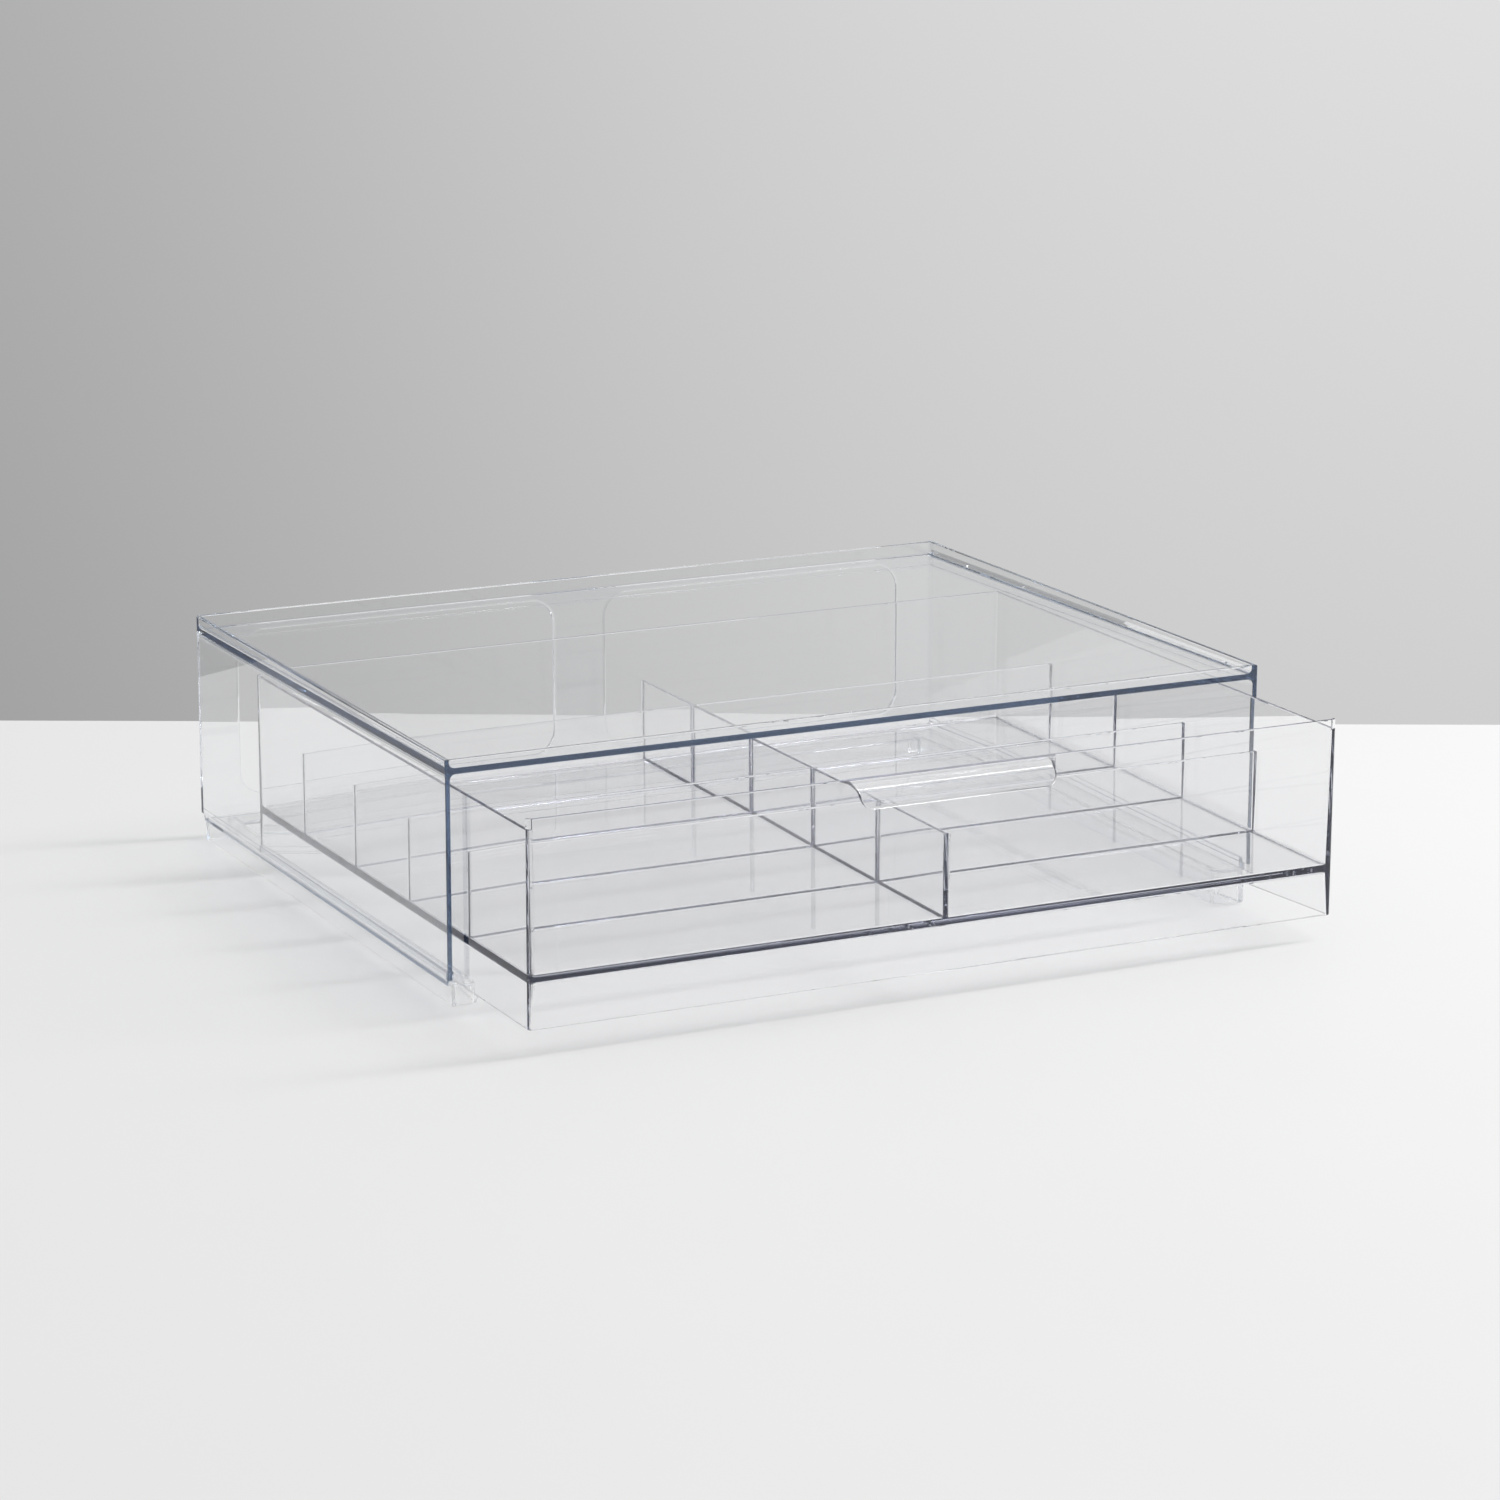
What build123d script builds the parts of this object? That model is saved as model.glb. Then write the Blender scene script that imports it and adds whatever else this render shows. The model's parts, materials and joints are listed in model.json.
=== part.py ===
# Eyeglasses drawer organizer: a low clear case, open at the front, and one
# sliding drawer that a spine and cross dividers part into ten compartments.
# Millimetres. +X is right, the front faces -Y, +Z is up. The origin is on the
# table, in the middle of the overall footprint with the drawer part open.
import os

from build123d import *

# Case
case_width = 365.0
case_depth = 279.0
case_height = 99.6
case_wall = 2.4
top_panel_thickness = 2.2
top_panel_fall = 1.8  # the top panel lies this much lower at the back
rim_rise = 3.8  # rim above the top panel at the front
front_rim_thickness = 2.4
side_back_edge_radius = 2.0

# Base rails under the sides and the back, hollow from below
rail_height = 9.6
rail_width = 13.2
rail_wall = 2.0
rail_nose_radius = 6.0
foot_inset = 2.8  # rail foot behind the outer faces of the case
flange_thickness = 1.5  # side rail flange against the inside of its panel
flange_lap = 2.5
panel_lift = 1.9  # lower edge of the side panels above the rail tops

# Windows in the back panel
window_side_margin = 19.1  # from the side panels
window_strip_width = 25.6  # strip between the two windows
window_bottom_margin = 8.0
window_top_margin = 10.7
window_corner_radius = 10.6

# Drawer
drawer_pull_out = 67.0  # drawer front ahead of the case at rest
drawer_proud = 2.0  # drawer front ahead of the case when it is shut
drawer_wall = 2.2
drawer_front_thickness = 2.4
drawer_corner_radius = 1.0
skirt_height = 18.3  # walls below the underside of the floor
floor_thickness = 2.8
run_clearance = 0.2  # drawer above the rail tops
side_clearance = 0.6  # drawer to the side rail flanges
rear_clearance = 0.5  # closed drawer to the back panel
top_clearance = 4.0  # drawer walls below the low end of the top panel
front_rise = 4.1  # drawer front above the other drawer walls

# Dividers
divider_height = 34.3
spine_thickness = 2.0
cross_thickness = 1.6
cross_rows = 4
back_row_depth = 48.7  # the row behind the last cross divider is shallower

# Finger lip on the drawer front, a quarter round that curls forward and down
lip_projection = 10.2
lip_width = 86.0  # across the straight part of its two ends
lip_thickness = 2.0

# Levels and positions that follow
overall_depth = case_depth + drawer_pull_out + lip_projection
case_back = overall_depth / 2
case_front = case_back - case_depth
case_half = case_width / 2
case_inner_half = case_half - case_wall
back_panel_front = case_back - case_wall
panel_bottom = rail_height + panel_lift
flange_top = panel_bottom + flange_lap
rail_outer_half = case_half - foot_inset
rail_inner_half = rail_outer_half - rail_width
rail_back = case_back - foot_inset
top_panel_front_level = case_height - rim_rise
top_panel_back_level = top_panel_front_level - top_panel_fall

drawer_half = case_inner_half - flange_thickness - side_clearance
drawer_depth = case_depth - case_wall - rear_clearance + drawer_proud
drawer_front = case_front - drawer_pull_out
drawer_back = drawer_front + drawer_depth
drawer_bottom = rail_height + run_clearance
wall_top = top_panel_back_level - top_panel_thickness - top_clearance
front_top = wall_top + front_rise
inner_half = drawer_half - drawer_wall
inner_front = drawer_front + drawer_front_thickness
inner_back = drawer_back - drawer_wall
floor_bottom = drawer_bottom + skirt_height
floor_top = floor_bottom + floor_thickness
row_pitch = (inner_back - inner_front - back_row_depth) / cross_rows

os.makedirs("parts", exist_ok=True)


def save(piece, label):
    piece.part.label = label
    export_step(piece.part, f"parts/{label}.step")


def top_panel_level(y):
    share = (y - case_front) / (back_panel_front - case_front)
    return top_panel_front_level - top_panel_fall * share


def build_block(label, x_span, y_span, z_span):
    with BuildPart() as block:
        with BuildSketch(Plane.XY.offset(z_span[0])):
            with Locations((sum(x_span) / 2, sum(y_span) / 2)):
                Rectangle(x_span[1] - x_span[0], y_span[1] - y_span[0])
        extrude(amount=z_span[1] - z_span[0])
    save(block, label)


def build_case_side(label, side):
    with BuildPart() as panel:
        with BuildSketch(Plane.XY.offset(panel_bottom)) as outline:
            with Locations((side * (case_half - case_wall / 2), case_back - case_depth / 2)):
                Rectangle(case_wall, case_depth)
            back_corners = outline.vertices().group_by(Axis.Y)[-1]
            fillet(back_corners.sort_by(Axis.X)[-1 if side > 0 else 0], side_back_edge_radius)
        extrude(amount=case_height - panel_bottom)
    save(panel, label)


def build_side_rail(label, side):
    rail_front = case_front + foot_inset
    with BuildPart() as rail:
        with BuildSketch() as footprint:
            with Locations((side * (rail_outer_half + rail_inner_half) / 2, (rail_front + rail_back) / 2)):
                Rectangle(rail_width, rail_back - rail_front)
            front_corners = footprint.vertices().group_by(Axis.Y)[0]
            fillet(front_corners.sort_by(Axis.X)[0 if side > 0 else -1], rail_nose_radius)
        extrude(amount=rail_height)
        with BuildSketch():
            add(footprint.sketch)
            offset(amount=-rail_wall, mode=Mode.REPLACE)
        extrude(amount=rail_height - rail_wall, mode=Mode.SUBTRACT)
        with BuildSketch(Plane.XY.offset(rail_height - rail_wall)):
            with Locations((side * (case_inner_half - flange_thickness / 2), (rail_front + back_panel_front) / 2)):
                Rectangle(flange_thickness, back_panel_front - rail_front)
        extrude(amount=flange_top - rail_height + rail_wall)
    save(rail, label)


def build_drawer_end(label, outer_face, inner_face, top):
    with BuildPart() as panel:
        with BuildSketch(Plane.XY.offset(drawer_bottom)) as outline:
            with Locations((0, (outer_face + inner_face) / 2)):
                Rectangle(2 * drawer_half, abs(outer_face - inner_face))
            outer_row = 0 if outer_face < inner_face else -1
            fillet(outline.vertices().group_by(Axis.Y)[outer_row], drawer_corner_radius)
        extrude(amount=top - drawer_bottom)
    save(panel, label)


# Top panel, falling towards the back so that it lets go of the mould
with BuildPart() as case_top_panel:
    with BuildSketch(Plane.YZ):
        with BuildLine():
            Polyline(
                (case_front, top_panel_front_level - top_panel_thickness),
                (back_panel_front, top_panel_back_level - top_panel_thickness),
                (back_panel_front, top_panel_back_level),
                (case_front, top_panel_front_level),
                close=True,
            )
        make_face()
    extrude(amount=case_inner_half, both=True)
save(case_top_panel, "case_top_panel")

# Rim strip along the front edge of the top panel
with BuildPart() as case_front_rim:
    rim_back = case_front + front_rim_thickness
    with BuildSketch(Plane.YZ):
        with BuildLine():
            Polyline(
                (case_front, top_panel_front_level),
                (rim_back, top_panel_level(rim_back)),
                (rim_back, case_height),
                (case_front, case_height),
                close=True,
            )
        make_face()
    extrude(amount=case_inner_half, both=True)
save(case_front_rim, "case_front_rim")

build_case_side("case_left_side", -1)
build_case_side("case_right_side", 1)

# Back panel with its two rounded windows
with BuildPart() as case_back_panel:
    window_width = case_inner_half - window_side_margin - window_strip_width / 2
    window_bottom = rail_height + window_bottom_margin
    window_top = case_height - window_top_margin
    window_x = (window_width + window_strip_width) / 2
    with BuildSketch(Plane.XZ.offset(-back_panel_front)):
        with Locations((0, (rail_height + case_height) / 2)):
            Rectangle(2 * case_inner_half, case_height - rail_height)
        window_z = (window_bottom + window_top) / 2
        with Locations((-window_x, window_z), (window_x, window_z)):
            RectangleRounded(
                window_width, window_top - window_bottom, window_corner_radius, mode=Mode.SUBTRACT
            )
    extrude(amount=-case_wall)
save(case_back_panel, "case_back_panel")

build_side_rail("left_base_rail", -1)
build_side_rail("right_base_rail", 1)

# Back rail between the side rails; its shelf reaches out under the back panel
with BuildPart() as back_base_rail:
    back_rail_y = rail_back - rail_width / 2
    with BuildSketch():
        with Locations((0, back_rail_y)):
            Rectangle(2 * rail_inner_half, rail_width)
    extrude(amount=rail_height)
    with BuildSketch():
        with Locations((0, back_rail_y)):
            Rectangle(2 * rail_inner_half - 2 * rail_wall, rail_width - 2 * rail_wall)
    extrude(amount=rail_height - rail_wall, mode=Mode.SUBTRACT)
    with BuildSketch(Plane.XY.offset(rail_height - rail_wall)):
        with Locations((0, (rail_back + case_back) / 2)):
            Rectangle(2 * rail_inner_half, case_back - rail_back)
    extrude(amount=rail_wall)
save(back_base_rail, "back_base_rail")

# Drawer walls and floor
wall_span = (drawer_bottom, wall_top)
build_drawer_end("drawer_front", drawer_front, inner_front, front_top)
build_drawer_end("drawer_back", drawer_back, inner_back, wall_top)
build_block("drawer_left_side", (-drawer_half, -inner_half), (inner_front, inner_back), wall_span)
build_block("drawer_right_side", (inner_half, drawer_half), (inner_front, inner_back), wall_span)
build_block("drawer_floor", (-inner_half, inner_half), (inner_front, inner_back), (floor_bottom, floor_top))

# Spine from front to back, and the cross dividers on both sides of it
spine_half = spine_thickness / 2
divider_span = (floor_top, floor_top + divider_height)
build_block("spine_divider", (-spine_half, spine_half), (inner_front, inner_back), divider_span)
for row in range(1, cross_rows + 1):
    cross_back = inner_front + row * row_pitch
    cross_span = (cross_back - cross_thickness, cross_back)
    build_block(f"left_cross_divider_{row}", (-inner_half, -spine_half), cross_span, divider_span)
    build_block(f"right_cross_divider_{row}", (spine_half, inner_half), cross_span, divider_span)

# Finger lip: a quarter ring across the drawer front, cut to its front outline
with BuildPart() as finger_lip:
    lip_bottom = front_top - lip_projection
    lip_inner_radius = lip_projection - lip_thickness
    end_radius = lip_projection / 2  # two equal arcs make up each end
    lip_half = lip_width / 2
    root_half = lip_half + end_radius
    edge_half = lip_half - end_radius
    slant = 2**-0.5
    with BuildSketch(Plane.YZ):
        with BuildLine():
            Line((drawer_front, front_top - lip_thickness), (drawer_front, front_top))
            ThreePointArc(
                (drawer_front, front_top),
                (drawer_front - lip_projection * slant, lip_bottom + lip_projection * slant),
                (drawer_front - lip_projection, lip_bottom),
            )
            Line((drawer_front - lip_projection, lip_bottom), (drawer_front - lip_inner_radius, lip_bottom))
            ThreePointArc(
                (drawer_front - lip_inner_radius, lip_bottom),
                (drawer_front - lip_inner_radius * slant, lip_bottom + lip_inner_radius * slant),
                (drawer_front, front_top - lip_thickness),
            )
        make_face()
    extrude(amount=root_half, both=True)
    with BuildSketch(Plane.XZ.offset(-drawer_front)):
        with BuildLine():
            Line((-root_half, front_top), (root_half, front_top))
            RadiusArc((root_half, front_top), (lip_half, front_top - end_radius), -end_radius)
            RadiusArc((lip_half, front_top - end_radius), (edge_half, lip_bottom), end_radius)
            Line((edge_half, lip_bottom), (-edge_half, lip_bottom))
            RadiusArc((-edge_half, lip_bottom), (-lip_half, front_top - end_radius), end_radius)
            RadiusArc((-lip_half, front_top - end_radius), (-root_half, front_top), -end_radius)
        make_face()
    extrude(amount=lip_projection, mode=Mode.INTERSECT)
save(finger_lip, "finger_lip")
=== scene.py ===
import json
import math

import bmesh
import bpy
from mathutils import Matrix, Vector


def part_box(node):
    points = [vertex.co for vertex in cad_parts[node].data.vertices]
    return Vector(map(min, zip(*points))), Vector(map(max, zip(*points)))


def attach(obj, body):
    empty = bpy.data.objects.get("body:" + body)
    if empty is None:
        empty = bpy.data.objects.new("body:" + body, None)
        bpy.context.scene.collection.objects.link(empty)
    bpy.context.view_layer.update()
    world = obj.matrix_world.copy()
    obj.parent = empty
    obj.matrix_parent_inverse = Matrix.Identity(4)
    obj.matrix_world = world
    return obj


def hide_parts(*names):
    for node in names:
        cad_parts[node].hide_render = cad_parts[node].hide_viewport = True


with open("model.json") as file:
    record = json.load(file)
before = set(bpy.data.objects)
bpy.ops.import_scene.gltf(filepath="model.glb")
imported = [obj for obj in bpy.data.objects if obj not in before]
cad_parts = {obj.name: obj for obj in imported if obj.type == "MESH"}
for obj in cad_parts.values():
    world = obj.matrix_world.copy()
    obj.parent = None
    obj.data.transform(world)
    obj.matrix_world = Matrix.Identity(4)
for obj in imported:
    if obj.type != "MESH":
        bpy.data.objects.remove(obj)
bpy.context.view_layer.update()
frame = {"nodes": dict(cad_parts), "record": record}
scene = bpy.context.scene
print("frame loaded:", len(frame["nodes"]), "nodes")


# Small mesh helpers; all lengths below are millimetres until a mesh is made

meshLook = {
    "straight": math.radians(89.9),   # half angle from which a corner is left as a point
    "sharpest": 0.4,                  # keeps a sharp corner from moving too far
    "midRound": 0.3,                  # middle ring of a small rounding, as a share of its radius
    "tiny": 1e-6,
    "weld": 2e-6,                     # metres, like the next
    "sliver": 1e-6,
}
mid = meshLook["midRound"]


def span(node):
    low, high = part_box(node)
    return low * 1000, high * 1000


def roundLoop(corners, steps=3):
    # corners are (u, v, radius); each is replaced by an arc that touches both sides
    loop = []
    count = len(corners)
    for i, (u, v, radius) in enumerate(corners):
        here = Vector((u, v))
        toLast = (Vector(corners[i - 1][:2]) - here).normalized()
        toNext = (Vector(corners[(i + 1) % count][:2]) - here).normalized()
        half = toLast.angle(toNext) / 2
        if radius <= 0 or half > meshLook["straight"]:
            loop.append((u, v))
            continue
        reach = radius / math.tan(half)
        centre = here + (toLast + toNext).normalized() * (radius / math.sin(half))
        start = here + toLast * reach - centre
        turn = start.angle_signed(here + toNext * reach - centre)
        for k in range(steps + 1):
            angle = -turn * k / steps
            spot = centre + Matrix.Rotation(angle, 2) @ start
            loop.append((spot.x, spot.y))
    return loop


def roundRect(low, high, radius, steps=3):
    return roundLoop([(low[0], low[1], radius), (high[0], low[1], radius),
                      (high[0], high[1], radius), (low[0], high[1], radius)], steps)


def shrink(loop, amount):
    # moves each point of a counter-clockwise loop inwards along the mean of its two normals
    moved = []
    count = len(loop)
    for i in range(count):
        here = Vector(loop[i])
        before = (here - Vector(loop[i - 1])).normalized()
        after = (Vector(loop[(i + 1) % count]) - here).normalized()
        normal = Vector((-before.y - after.y, before.x + after.x))
        if normal.length < meshLook["tiny"]:
            normal = Vector((-before.y, before.x))
        normal.normalize()
        lean = max(meshLook["sharpest"], normal.dot(Vector((-before.y, before.x))))
        moved.append(tuple(here + normal * amount / lean))
    return moved


def quarter(radius, steps=4):
    # (depth, width) pairs round a quarter circle: full width at depth 0, none at the radius
    turns = [math.radians(90 * k / steps) for k in range(steps + 1)]
    return [(radius * (1 - math.cos(a)), radius * (1 - math.sin(a))) for a in turns]


def ringMesh(name, rings, closed=False):
    # rings of equal length are joined by quads; the ends are capped, or joined when closed
    mesh = bpy.data.meshes.new(name)
    work = bmesh.new()
    rows = [[work.verts.new(Vector(p) / 1000) for p in ring] for ring in rings]
    size = len(rows[0])
    last = len(rows) if closed else len(rows) - 1
    for i in range(last):
        a, b = rows[i], rows[(i + 1) % len(rows)]
        for k in range(size):
            j = (k + 1) % size
            work.faces.new((a[k], a[j], b[j], b[k]))
    if not closed:
        work.faces.new(list(reversed(rows[0])))
        work.faces.new(rows[-1])
    bmesh.ops.recalc_face_normals(work, faces=work.faces)
    bmesh.ops.triangulate(work, faces=[f for f in work.faces if len(f.verts) > 4])
    work.to_mesh(mesh)
    work.free()
    piece = bpy.data.objects.new(name, mesh)
    scene.collection.objects.link(piece)
    return piece


def alongX(loop, xs):
    return [[(x, p[0], p[1]) for p in loop] for x in xs]


def alongZ(loop, zs):
    return [[(p[0], p[1], z) for p in loop] for z in zs]


def combine(base, others, operation="UNION"):
    # joins the others to the base one after another and counts what is left open
    for piece in others:
        tool = base.modifiers.new("combine", "BOOLEAN")
        tool.object = piece
        tool.operation = operation
        tool.solver = "EXACT"
        result = bpy.data.meshes.new_from_object(base.evaluated_get(bpy.context.evaluated_depsgraph_get()))
        base.modifiers.clear()
        old = base.data
        base.data = result
        bpy.data.meshes.remove(old)
        bpy.data.objects.remove(piece)
        work = bmesh.new()
        work.from_mesh(base.data)
        bmesh.ops.remove_doubles(work, verts=work.verts, dist=meshLook["weld"])
        bmesh.ops.dissolve_degenerate(work, dist=meshLook["sliver"], edges=work.edges)
        loose = [edge for edge in work.edges if len(edge.link_faces) != 2]
        faces = len(work.faces)
        work.to_mesh(base.data)
        work.free()
    print(base.name, faces, "faces,", len(loose), "open edges")
    return base


# Case moulding: sides, top panel and rim in one run, then back, front rim and rails

caseLook = {
    "topThickness": 2.2,
    "sideWall": 2.0,
    "sideDraft": 1.5,        # each side leans in this much at the back
    "rimRound": 0.7,
    "rimInside": 0.5,
    "rimRoot": 1.2,          # front rim strip reaches this far into the top panel
    "edgeRound": 0.6,
    "insideCorner": 2.2,     # under and above the top panel
    "plateZone": 2.5,        # what lies this near the top panel falls with it
    "frontRound": 0.45,
    "backBend": 1.6,         # upright back corners, less than the side wall
    "sill": 0.6,             # back wall reaches this far into the shelf of the back rail
    "wallTuck": 0.25,        # and this far into the sides
    "overlap": 1.0,          # other pieces, into what they join
    "hair": 0.03,            # ends this far inside another's face, so that no two lie in one plane
    "railWall": 2.0,
    "railNose": 6.0,
    "railCorner": 1.0,
    "railEnd": 0.1,          # side rails end this far ahead of the back wall
    "footInset": 2.8,        # rails behind the outer faces
    "flangeFront": 0.5,      # behind the rail's front
    "flangeBack": 2.6,       # ahead of the case's back
    "flangeWidth": 1.5,      # inside the side panel
    "flangeRoot": 0.6,       # share of the rail's wall, like the next
    "shelfRoot": 0.65,
    "shelfOverlap": 0.8,
    "shelfFront": 5.0,       # behind the back rail's front
    "hiddenRound": (0.1, 0.2, 0.3),   # corners inside the front rim, the back wall and the rails
    "windowRound": 10.6,
    "windowSide": 19.1,
    "windowStrip": 25.6,
    "windowBottom": 8.0,
    "windowTop": 10.7,
    "windowEdge": 1.0,       # rounding of the cut edges
}


def buildCase(look):
    sideLow, sideHigh = span("case_right_side")
    topLow, topHigh = span("case_top_panel")
    railLow, railHigh = span("right_base_rail")
    backLow, backHigh = span("case_back_panel")
    rimLow, rimHigh = span("case_front_rim")
    shelfLow, shelfHigh = span("back_base_rail")
    outer, inner = sideHigh.x, sideHigh.x - look["sideWall"]
    front, back = sideLow.y, sideHigh.y
    rim, foot = sideHigh.z, sideLow.z
    plateTop = topHigh.z
    plateUnder = plateTop - look["topThickness"]
    fall = plateUnder - topLow.z
    small = look["edgeRound"]
    hair, over = look["hair"], look["overlap"]
    stripHidden, wallHidden, railHidden = look["hiddenRound"]

    half = [
        (inner, plateTop, look["insideCorner"]), (inner, rim, look["rimInside"]),
        (outer, rim, look["rimRound"]), (outer, foot, small), (inner, foot, small),
        (inner, plateUnder, look["insideCorner"]),
    ]
    corners = half + [(-x, z, r) for x, z, r in reversed(half)]
    profile = list(reversed(roundLoop(corners)))

    zone = look["plateZone"]

    def drafted(loop, y):
        share = (y - front) / (back - front)
        squeeze = 1 - share * look["sideDraft"] / outer
        made = []
        for x, z in loop:
            onPlate = abs(x) < inner + hair and plateUnder - zone < z < plateTop + zone
            made.append((x * squeeze, y, z - (fall * share if onPlate else 0)))
        return made

    r = look["frontRound"]
    rings = [drafted(shrink(profile, r), front), drafted(shrink(profile, r * mid), front + r * mid),
             drafted(profile, front + r)]
    for depth, pull in reversed(quarter(look["backBend"])):
        bent = []
        for x, z in profile:
            share = min(1.0, max(0.0, (abs(x) - inner) / (outer - inner)))
            bent.append((x - math.copysign(pull * share, x), z))
        rings.append(drafted(bent, back - depth))
    shell = ringMesh("case_moulding", rings)

    # back wall with its two windows
    lean = look["sideDraft"]
    outside = backHigh.y - hair
    sill = backLow.z - look["sill"]
    plate = roundLoop([(backLow.y, sill, wallHidden), (outside, sill, wallHidden),
                       (outside, rim - hair, small), (backLow.y, rim - hair, look["rimInside"])])
    reach = inner - lean + look["wallTuck"]
    backWall = ringMesh("back_wall", alongX(plate, (-reach, reach)))
    cutters = []
    for sign in (-1, 1):
        near = sign * look["windowStrip"] / 2
        far = sign * (sideLow.x - look["windowSide"])
        low = (min(near, far), backLow.z + look["windowBottom"])
        high = (max(near, far), rim - look["windowTop"])
        outline = roundRect(low, high, look["windowRound"], 12)
        flare = look["windowEdge"]
        near = [(backLow.y + d, -g) for d, g in quarter(flare)]
        away = [(outside - d, -g) for d, g in reversed(quarter(flare))]
        ys = [(backLow.y - over, -flare)] + near + away + [(outside + over, -flare)]
        cuts = [[(p[0], y, p[1]) for p in shrink(outline, g)] for y, g in ys]
        cutters.append(ringMesh("window_cut", cuts))
    combine(backWall, cutters, "DIFFERENCE")

    face = rimLow.y + hair
    root = plateTop - look["rimRoot"]
    strip = roundLoop([(face, root, stripHidden), (rimHigh.y, root, stripHidden),
                       (rimHigh.y, rim - hair, small), (face, rim - hair, small)])
    frontRim = ringMesh("front_rim", alongX(strip, (-inner - over, inner + over)))

    # base rails: hollow feet with a ledge, the drawer runs on them
    extra = [backWall, frontRim]
    wall = look["railWall"]
    ledge = shelfHigh.z
    footOut = outer - look["footInset"]

    def railLoop(sign, inset):
        # footprint of a side rail, nose at the front inner corner
        nose = look["railNose"] - inset
        low, high = railLow.y + inset, railHigh.y - look["railEnd"] - inset
        near, away = railLow.x + inset, footOut - inset
        corner = look["railCorner"]
        corners = [(near, low, nose), (away, low, corner), (away, high, corner), (near, high, corner)]
        if sign < 0:
            corners = [(-x, y, q) for x, y, q in reversed(corners)]
        return roundLoop(corners, 6)

    for sign in (-1, 1):
        loop = railLoop(sign, 0)
        inside = railLoop(sign, wall)
        extra.append(ringMesh("rail", [
            [(p[0], p[1], ledge - wall) for p in inside],
            [(p[0], p[1], 0.0) for p in inside],
            [(p[0], p[1], 0.0) for p in shrink(loop, small)],
            [(p[0], p[1], small) for p in loop],
            [(p[0], p[1], ledge - small) for p in loop],
            [(p[0], p[1], ledge) for p in shrink(loop, small)],
        ]))
        laps = []
        for y, pull in ((railLow.y + look["flangeFront"], 0.0), (back - look["flangeBack"], lean)):
            xs = sorted((sign * (sideLow.x - look["flangeWidth"]), sign * (inner + over - pull)))
            lap = roundRect((xs[0], ledge - wall * look["flangeRoot"]), (xs[1], railHigh.z), railHidden)
            laps.append([(p[0], y, p[1]) for p in lap])
        extra.append(ringMesh("rail_flange", laps))
    rearLow = Vector((shelfLow.x - over, shelfLow.y))
    rearHigh = Vector((shelfHigh.x + over, shelfHigh.y - look["footInset"]))
    inward = Vector((wall, wall))
    loop = roundRect(rearLow, rearHigh, railHidden)
    inside = roundRect(rearLow + inward, rearHigh - inward, railHidden)
    extra.append(ringMesh("rail_back", [
        [(p[0], p[1], ledge - wall - hair) for p in inside],
        [(p[0], p[1], hair) for p in inside],
        [(p[0], p[1], hair) for p in loop],
        [(p[0], p[1], ledge - hair) for p in loop],
    ]))
    side = look["shelfOverlap"]
    shelf = roundRect((shelfLow.x - side, shelfLow.y + look["shelfFront"]),
                      (shelfHigh.x + side, outside - railHidden), railHidden)
    levels = (ledge - wall * look["shelfRoot"], ledge - 2 * hair)
    extra.insert(1, ringMesh("rail_shelf", alongZ(shelf, levels)))
    return combine(shell, extra)


# Drawer moulding: wall band with a taller front, floor, dividers and finger lip

drawerLook = {
    "wallTop": 1.5,        # wall thickness at the top edge, the floor and the skirt's lower edge
    "wallFloor": 2.3,
    "wallSkirt": 1.4,
    "fillet": 0.8,         # where floor, walls and dividers meet
    "cornerRound": 2.0,
    "cornerInside": 0.8,
    "edgeRound": 0.45,
    "dividerDraft": 0.15,
    "dividerCrest": 0.55,  # rounding of the dividers' top edges
    "dividerTuck": 0.6,    # dividers reach this far into the walls
    "crossTuck": 0.1,      # cross dividers into the spine
    "crossDrop": 0.05,     # and their tops below its top
    "spineRoot": 0.8,      # spine below the floor's face
    "crossRoot": 0.5,
    "wallMeet": 0.15,      # dividers' ends behind the mean face of the walls
    "stepGap": 0.01,       # half the length of the step beside the front wall
    "stepRun": (1.0, 0.75, 0.5, 0.25),
    "stepStride": 0.3,
    "sunk": 0.05,          # fillets start this far inside the floor and cross its face at a slant
    "floorCorner": 1.0,
    "lipRoot": 0.8,        # lip reaches this far into the front wall
    "lipDrop": 0.02,       # and lies this far below its top
    "lipThickness": 2.0,
    "lipNose": 0.9,        # rounding of the lip's lower edge
    "lipEdge": 0.35,       # and of its two ends
}


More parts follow.
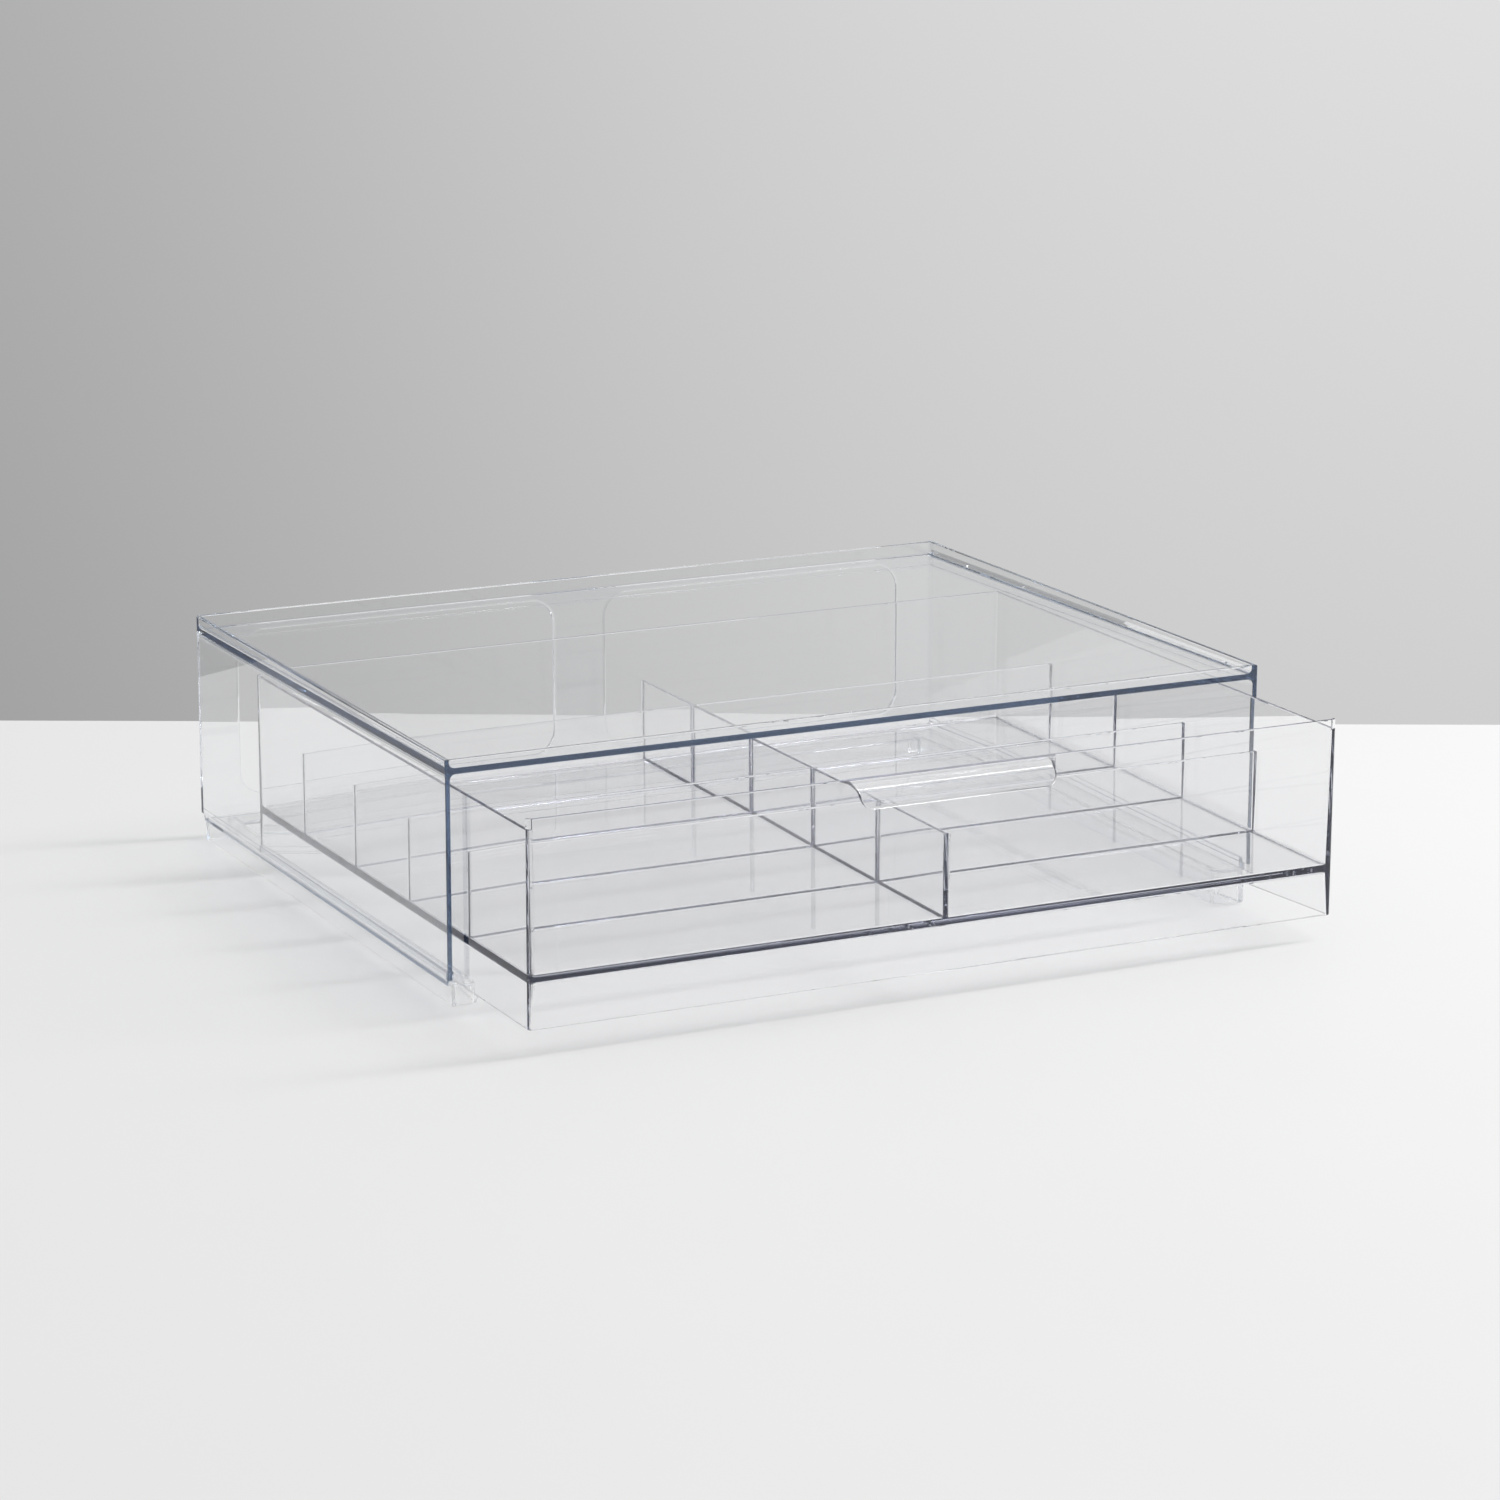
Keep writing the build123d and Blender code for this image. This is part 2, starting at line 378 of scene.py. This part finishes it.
def buildDrawer(look):
    frontLow, frontHigh = span("drawer_front")
    backHigh = span("drawer_back")[1]
    floorLow, floorHigh = span("drawer_floor")
    spineLow, spineHigh = span("spine_divider")
    lipLow, lipHigh = span("finger_lip")
    wide = frontHigh.x
    front, back = frontLow.y, backHigh.y
    base, top, sideTop = frontLow.z, frontHigh.z, backHigh.z
    under, floor = floorLow.z, floorHigh.z
    rise = top - sideTop
    edge, fillet, sunk = look["edgeRound"], look["fillet"], look["sunk"]
    thick, thin, skirt = look["wallFloor"], look["wallTop"], look["wallSkirt"]

    # One ring round the walls. Its front stretch lies higher by lift, with the step just behind
    # the front wall; outer and inner rings turn the corner at different points of their count.
    def band(inset, z, lift=0.0):
        outerRing = inset < thin / 2
        corner = look["cornerRound"] - inset if outerRing else look["cornerInside"]
        arc = quarter(corner)
        x0, y0, y1 = wide - inset, front + inset, back - inset
        bent = [(x0 - u, y0 + v) for u, v in arc]      # from the side round to the front
        gap = look["stepGap"]
        if outerRing:
            low = [(x0, frontHigh.y + d) for d in look["stepRun"] + (gap,)]
            high = [(x0, frontHigh.y - gap)] + bent
        else:
            low = bent
            high = [(bent[-1][0] - 2 * gap - look["stepStride"] * k, y0) for k in range(len(bent) + 1)]
        right = [(x0 - v, y1 - u, z) for u, v in arc]
        right += [(x, y, z) for x, y in low] + [(x, y, z + lift) for x, y in high]
        return right + [(-x, y, h) for x, y, h in reversed(right)]

    soft = edge * mid
    rings = [
        band(edge, base), band(soft, base + soft), band(0, base + edge),
        band(0, sideTop - edge, rise), band(soft, sideTop - soft, rise), band(edge, sideTop, rise),
        band(thin - edge, sideTop, rise), band(thin - soft, sideTop - soft, rise),
        band(thin, sideTop - edge, rise),
    ]
    rings += [band(thick + g, floor - sunk + d) for d, g in reversed(quarter(fillet, 3))]
    rings += [band(thick + g, under + sunk - d) for d, g in quarter(fillet, 3)]
    rings += [band(skirt, base + edge), band(skirt - soft, base + soft), band(skirt - edge, base)]
    shell = ringMesh("drawer_moulding", rings, closed=True)

    inset = thick * 0.5
    sheet = roundRect((-wide + inset, front + inset), (wide - inset, back - inset), look["floorCorner"])
    extra = [ringMesh("floor", alongZ(sheet, (under, floor)))]

    def dividerProfile(low, high, root, crest):
        # upright strip, thinner at its rounded top, flared into the floor
        d = look["dividerDraft"]
        r = look["dividerCrest"]
        start = floor - sunk
        return roundLoop([
            (low - fillet, root, 0), (high + fillet, root, 0), (high + fillet, start, 0),
            (high, start, fillet), (high - d, crest, r), (low + d, crest, r),
            (low, start, fillet), (low - fillet, start, 0),
        ])

    def divider(name, sides, levels, ends, place):
        # runs from wall to wall and flares into both
        rings = []
        start, end = ends
        tuck = look["dividerTuck"]
        stations = [(start - tuck, fillet)] + [(start + d, g) for d, g in quarter(fillet)]
        stations += [(end - d, g) for d, g in reversed(quarter(fillet))] + [(end + tuck, fillet)]
        for spot, grow in stations:
            profile = dividerProfile(sides[0] - grow, sides[1] + grow, *levels)
            rings.append([place(spot, p) for p in profile])
        return ringMesh(name, rings)

    wallFace = (thick + thin) / 2 + look["wallMeet"]
    extra.append(divider("spine", (spineLow.x, spineHigh.x), (floor - look["spineRoot"], spineHigh.z),
                         (front + wallFace, back - wallFace), lambda s, p: (p[0], s, p[1])))
    tuck = look["crossTuck"]
    for row in range(1, 5):
        low, high = span("left_cross_divider_%d" % row)
        levels = (floor - look["crossRoot"], high.z - look["crossDrop"])
        for ends in ((-wide + wallFace, spineLow.x + tuck), (spineHigh.x - tuck, wide - wallFace)):
            extra.append(divider("cross", (low.y, high.y), levels, ends, lambda s, p: (s, p[0], p[1])))

    # finger lip: rows of points round a quarter turn, each as wide as the front outline is at that height
    radius = front - lipLow.y
    bend = radius / 2
    nose = look["lipNose"]
    innerRadius = radius - look["lipThickness"]
    centre = top - radius
    sweepSteps, tipSteps = 24, 6

    def halfWidth(z):
        # two arcs meet half way down
        drop = min(max(top - z, 0.0), radius)
        swing = math.sqrt(max(0.0, bend * bend - (bend - drop) ** 2))
        return lipHigh.x - swing if drop < bend else lipHigh.x - 2 * bend + swing

    def sweep(r, lowered=0.0):
        # from the top of the front wall round and down to where the nose begins
        last = math.acos(nose / r)
        turns = [last * k / sweepSteps for k in range(sweepSteps + 1)]
        return [(front - r * math.sin(a), centre + r * math.cos(a) - lowered) for a in turns]

    root, drop = front + look["lipRoot"], look["lipDrop"]
    outside = [(root, top - drop)] + sweep(radius, drop)
    inside = [(root, centre + innerRadius)] + sweep(innerRadius)
    middle = (outside[-1][0] + inside[-1][0]) / 2
    reach = (inside[-1][0] - outside[-1][0]) / 2
    tip = [(middle - reach * math.cos(a), centre + nose - nose * math.sin(a))
           for a in (math.radians(180 * k / tipSteps) for k in range(1, tipSteps))]
    outline = outside + tip + list(reversed(inside))
    widths = [halfWidth(z) for y, z in outline]
    rows = []
    for depth, width in quarter(look["lipEdge"], 2):
        cut = shrink(outline, width)
        rows.append([(w - depth, y, z) for w, (y, z) in zip(widths, cut)])
    mirrored = [[(-x, y, z) for x, y, z in row] for row in rows]
    extra.append(ringMesh("lip", mirrored + list(reversed(rows))))
    return combine(shell, extra)


caseMoulding = buildCase(caseLook)
drawerMoulding = buildDrawer(drawerLook)
print("mouldings built")


# Clear plastic: clean glass that darkens to slate along its edges; lamp light and light that has
# bounced off the table pass straight through

plasticLook = {
    "ior": 1.57,
    "waveScale": 35.0,        # faint waviness left by the mould
    "waveDetail": 1.0,
    "waveStrength": 0.18,
    "waveDepth": 0.00004,
    "lampStraight": 0.986,    # share of lamp light that passes a face head on
    "lampSlant": 0.2,         # and at a slant, where most of it is turned away
    "slantStart": 0.4,
    "bounceThrough": 0.998,
    "railTop": 9.8,           # the dull finish with its painted lighter tint reaches up to here
    "railReach": 1.5,         # and this far inside the side rails
}


def clearPlastic(name, tint, density, rough=0.0, clear=1.0):
    look = plasticLook
    material = bpy.data.materials.new(name)
    material.use_nodes = True
    nodes, links = material.node_tree.nodes, material.node_tree.links
    nodes.clear()
    out = nodes.new("ShaderNodeOutputMaterial")
    glass = nodes.new("ShaderNodeBsdfPrincipled")
    glass.inputs["Base Color"].default_value = (1, 1, 1, 1)
    glass.inputs["Transmission Weight"].default_value = clear
    glass.inputs["IOR"].default_value = look["ior"]
    glass.inputs["Roughness"].default_value = rough
    place = nodes.new("ShaderNodeTexCoord")
    wave = nodes.new("ShaderNodeTexNoise")
    wave.inputs["Scale"].default_value = look["waveScale"]
    wave.inputs["Detail"].default_value = look["waveDetail"]
    bump = nodes.new("ShaderNodeBump")
    bump.inputs["Strength"].default_value = look["waveStrength"]
    bump.inputs["Distance"].default_value = look["waveDepth"]
    links.new(place.outputs["Object"], wave.inputs["Vector"])
    links.new(wave.outputs["Fac"], bump.inputs["Height"])
    links.new(bump.outputs["Normal"], glass.inputs["Normal"])
    glance = nodes.new("ShaderNodeLayerWeight")
    dimmed = nodes.new("ShaderNodeValToRGB")
    dimmed.color_ramp.elements[0].position = look["slantStart"]
    dimmed.color_ramp.elements[0].color = [look["lampStraight"]] * 3 + [1]
    dimmed.color_ramp.elements[1].color = [look["lampSlant"]] * 3 + [1]
    veil = nodes.new("ShaderNodeBsdfTransparent")
    links.new(glance.outputs["Facing"], dimmed.inputs["Fac"])
    links.new(dimmed.outputs["Color"], veil.inputs["Color"])
    through = nodes.new("ShaderNodeBsdfTransparent")
    through.inputs["Color"].default_value = [look["bounceThrough"]] * 3 + [1]
    path = nodes.new("ShaderNodeLightPath")
    shadowMix = nodes.new("ShaderNodeMixShader")
    links.new(path.outputs["Is Shadow Ray"], shadowMix.inputs["Fac"])
    links.new(glass.outputs["BSDF"], shadowMix.inputs[1])
    links.new(veil.outputs["BSDF"], shadowMix.inputs[2])
    bounceMix = nodes.new("ShaderNodeMixShader")
    links.new(path.outputs["Is Diffuse Ray"], bounceMix.inputs["Fac"])
    links.new(shadowMix.outputs["Shader"], bounceMix.inputs[1])
    links.new(through.outputs["BSDF"], bounceMix.inputs[2])
    links.new(bounceMix.outputs["Shader"], out.inputs["Surface"])
    absorb = nodes.new("ShaderNodeVolumeAbsorption")
    absorb.inputs["Color"].default_value = tint
    absorb.inputs["Density"].default_value = density
    links.new(absorb.outputs["Volume"], out.inputs["Volume"])
    return material


caseClear = clearPlastic("case_plastic", (0.33, 0.45, 0.6, 1), 12.0)
drawerClear = clearPlastic("drawer_plastic", (0.4, 0.42, 0.52, 1), 18.0)
railDullLightened = clearPlastic("rail_plastic_lightened", (0.85, 0.9, 0.95, 1), 4.0, 0.12, 0.9)  # dull finish; the paler tint and thinner absorption are painted light that whitens the feet
bodies = frame["record"]["behaviour"]["bodies"]
for piece, body, material in ((caseMoulding, "case", caseClear), (drawerMoulding, "drawer", drawerClear)):
    piece.data.materials.clear()
    piece.data.materials.append(material)
    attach(piece, body)
    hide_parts(*bodies[body])
# the feet take the paler rail plastic: painted light that whitens them
caseMoulding.data.materials.append(railDullLightened)
railSide = span("right_base_rail")[0].x - plasticLook["railReach"]
for face in caseMoulding.data.polygons:
    place = face.center * 1000
    face.material_index = int(place.z < plasticLook["railTop"] and abs(place.x) > railSide)
print("clear plastic set")


# Stage: pale table in an even room, brighter overhead; behind the table the room's light is a duller grey,
# painted shade that is darker at the left and near the table edge

stageLook = {
    "tableTone": 0.65,
    "tableUneven": 0.01,
    "tableCloud": 5.0,
    "tableRough": 0.5,
    "tableEdge": 0.291,                # metres from the object's middle, along the camera's heading
    "tableFront": 3.0,
    "tableSide": 4.0,
    "tableDrop": 0.0004,               # keeps the feet clear of it
    "roomLight": 0.62,
    "ceiling": 2.2,                    # times the room's light
    "ceilingHeights": (0.45, 0.95),    # sines of the angles between which it rises, like those below
    "paintedBackdropShade": (0.375, 0.67, 0.76),      # painted shade behind the table, from left to right: darker at the left
    "greyWidth": (-0.165, 0.165),
    "paintedBackdropRise": (0.84, 1.0),           # painted shade, darker at the table edge and lighter upwards
    "greyHeights": (-0.242, -0.095),
    "greyTurn": (0, 0.5),              # from the sides to behind
}

cameraSet = {
    "place": (-0.874117, -1.745556, 0.558055),
    "yaw": 26.5444,
    "pitch": 14.3048,
    "roll": 0.1632,
    "lens": 115.68,
    "sensor": 36,
}


def tableMaterial():
    # satin white board, hardly uneven
    material = bpy.data.materials.new("table_white")
    material.use_nodes = True
    nodes, links = material.node_tree.nodes, material.node_tree.links
    surface = nodes["Principled BSDF"]
    surface.inputs["Roughness"].default_value = stageLook["tableRough"]
    place = nodes.new("ShaderNodeTexCoord")
    cloud = nodes.new("ShaderNodeTexNoise")
    cloud.inputs["Scale"].default_value = stageLook["tableCloud"]
    tone = nodes.new("ShaderNodeValToRGB")
    for stop, sign in zip(tone.color_ramp.elements, (-1, 1)):
        stop.color = [stageLook["tableTone"] + sign * stageLook["tableUneven"]] * 3 + [1]
    links.new(place.outputs["Object"], cloud.inputs["Vector"])
    links.new(cloud.outputs["Fac"], tone.inputs["Fac"])
    links.new(tone.outputs["Color"], surface.inputs["Base Color"])
    return material


def buildRoom(ahead, aside):
    world = bpy.data.worlds.new("room")
    world.use_nodes = True
    nodes, links = world.node_tree.nodes, world.node_tree.links
    place = nodes.new("ShaderNodeTexCoord")

    def along(axis, source, result):
        # how far a direction goes along an axis, spread over a new range
        share = nodes.new("ShaderNodeVectorMath")
        share.operation = "DOT_PRODUCT"
        share.inputs[1].default_value = axis
        spread = nodes.new("ShaderNodeMapRange")
        spread.inputs["From Min"].default_value, spread.inputs["From Max"].default_value = source
        spread.inputs["To Min"].default_value, spread.inputs["To Max"].default_value = result
        links.new(place.outputs["Generated"], share.inputs[0])
        links.new(share.outputs["Value"], spread.inputs["Value"])
        return spread.outputs["Result"]

    # painted shade on the backdrop: the room's light behind the table dims to the left and towards the
    # table edge
    grey = nodes.new("ShaderNodeValToRGB")
    grey.color_ramp.interpolation = "B_SPLINE"
    grey.color_ramp.elements.new(0.5)
    for stop, level in zip(grey.color_ramp.elements, stageLook["paintedBackdropShade"]):
        stop.color = [level] * 3 + [1]
    risen = nodes.new("ShaderNodeMath")
    risen.operation = "MULTIPLY"
    whole = nodes.new("ShaderNodeMix")
    whole.inputs["A"].default_value = stageLook["roomLight"]
    overhead = nodes.new("ShaderNodeMath")
    overhead.operation = "MULTIPLY"
    light = nodes["Background"]
    light.inputs["Color"].default_value = (1, 1, 1, 1)
    links.new(along(aside, stageLook["greyWidth"], (0, 1)), grey.inputs["Fac"])
    links.new(grey.outputs["Color"], risen.inputs[0])
    links.new(along((0, 0, 1), stageLook["greyHeights"], stageLook["paintedBackdropRise"]), risen.inputs[1])
    links.new(along(ahead, stageLook["greyTurn"], (0, 1)), whole.inputs["Factor"])
    links.new(risen.outputs["Value"], whole.inputs["B"])
    links.new(whole.outputs["Result"], overhead.inputs[0])
    links.new(along((0, 0, 1), stageLook["ceilingHeights"], (1, stageLook["ceiling"])), overhead.inputs[1])
    links.new(overhead.outputs["Value"], light.inputs["Strength"])
    scene.world = world


def buildStage():
    yaw = math.radians(cameraSet["yaw"])
    ahead = Vector((math.sin(yaw), math.cos(yaw), 0))
    aside = Vector((math.cos(yaw), -math.sin(yaw), 0))
    down = Vector((0, 0, -stageLook["tableDrop"]))
    far = ahead * stageLook["tableEdge"] + down
    near = ahead * -stageLook["tableFront"] + down
    side = aside * stageLook["tableSide"]
    mesh = bpy.data.meshes.new("table")
    corners = (near - side, near + side, far + side, far - side)
    mesh.from_pydata([tuple(p) for p in corners], [], [(0, 1, 2, 3)])
    mesh.materials.append(tableMaterial())
    piece = bpy.data.objects.new("table", mesh)
    scene.collection.objects.link(piece)
    buildRoom(ahead, aside)


buildStage()


# Soft strip light from the right, narrow from front to back and not mirrored in the plastic

keyLook = {
    "place": (1.6, -0.28, 1.8),
    "size": (0.32, 1.9),
    "power": 35,
}

keyLight = bpy.data.lights.new("key", "AREA")
keyLight.shape = "RECTANGLE"
keyLight.size, keyLight.size_y = keyLook["size"]
keyLight.energy = keyLook["power"]
key = bpy.data.objects.new("key", keyLight)
key.location = keyLook["place"]
key.rotation_euler = (-Vector(keyLook["place"])).to_track_quat("-Z", "Y").to_euler()
key.visible_glossy = False
scene.collection.objects.link(key)


# Camera at the photograph's viewing angle

camera = bpy.data.cameras.new("camera")
camera.lens = cameraSet["lens"]
camera.sensor_width = cameraSet["sensor"]
yaw, pitch, roll = (math.radians(cameraSet[k]) for k in ("yaw", "pitch", "roll"))
forward = Vector((math.sin(yaw) * math.cos(pitch), math.cos(yaw) * math.cos(pitch), -math.sin(pitch)))
right = Vector((math.cos(yaw), -math.sin(yaw), 0))
up = right.cross(forward)
rightTurned = right * math.cos(roll) + up * math.sin(roll)
upTurned = up * math.cos(roll) - right * math.sin(roll)
cameraPiece = bpy.data.objects.new("camera", camera)
cameraPiece.matrix_world = Matrix((
    (rightTurned.x, upTurned.x, -forward.x, cameraSet["place"][0]),
    (rightTurned.y, upTurned.y, -forward.y, cameraSet["place"][1]),
    (rightTurned.z, upTurned.z, -forward.z, cameraSet["place"][2]),
    (0, 0, 0, 1),
))
scene.collection.objects.link(cameraPiece)
scene.camera = cameraPiece
scene.view_settings.view_transform = "Standard"
bounces = 96  # light crosses many clear faces
scene.cycles.max_bounces = bounces
scene.cycles.transmission_bounces = bounces
scene.cycles.glossy_bounces = bounces
scene.cycles.transparent_max_bounces = 64
scene.cycles.caustics_reflective = False
scene.cycles.caustics_refractive = False
print("stage, light and camera set")
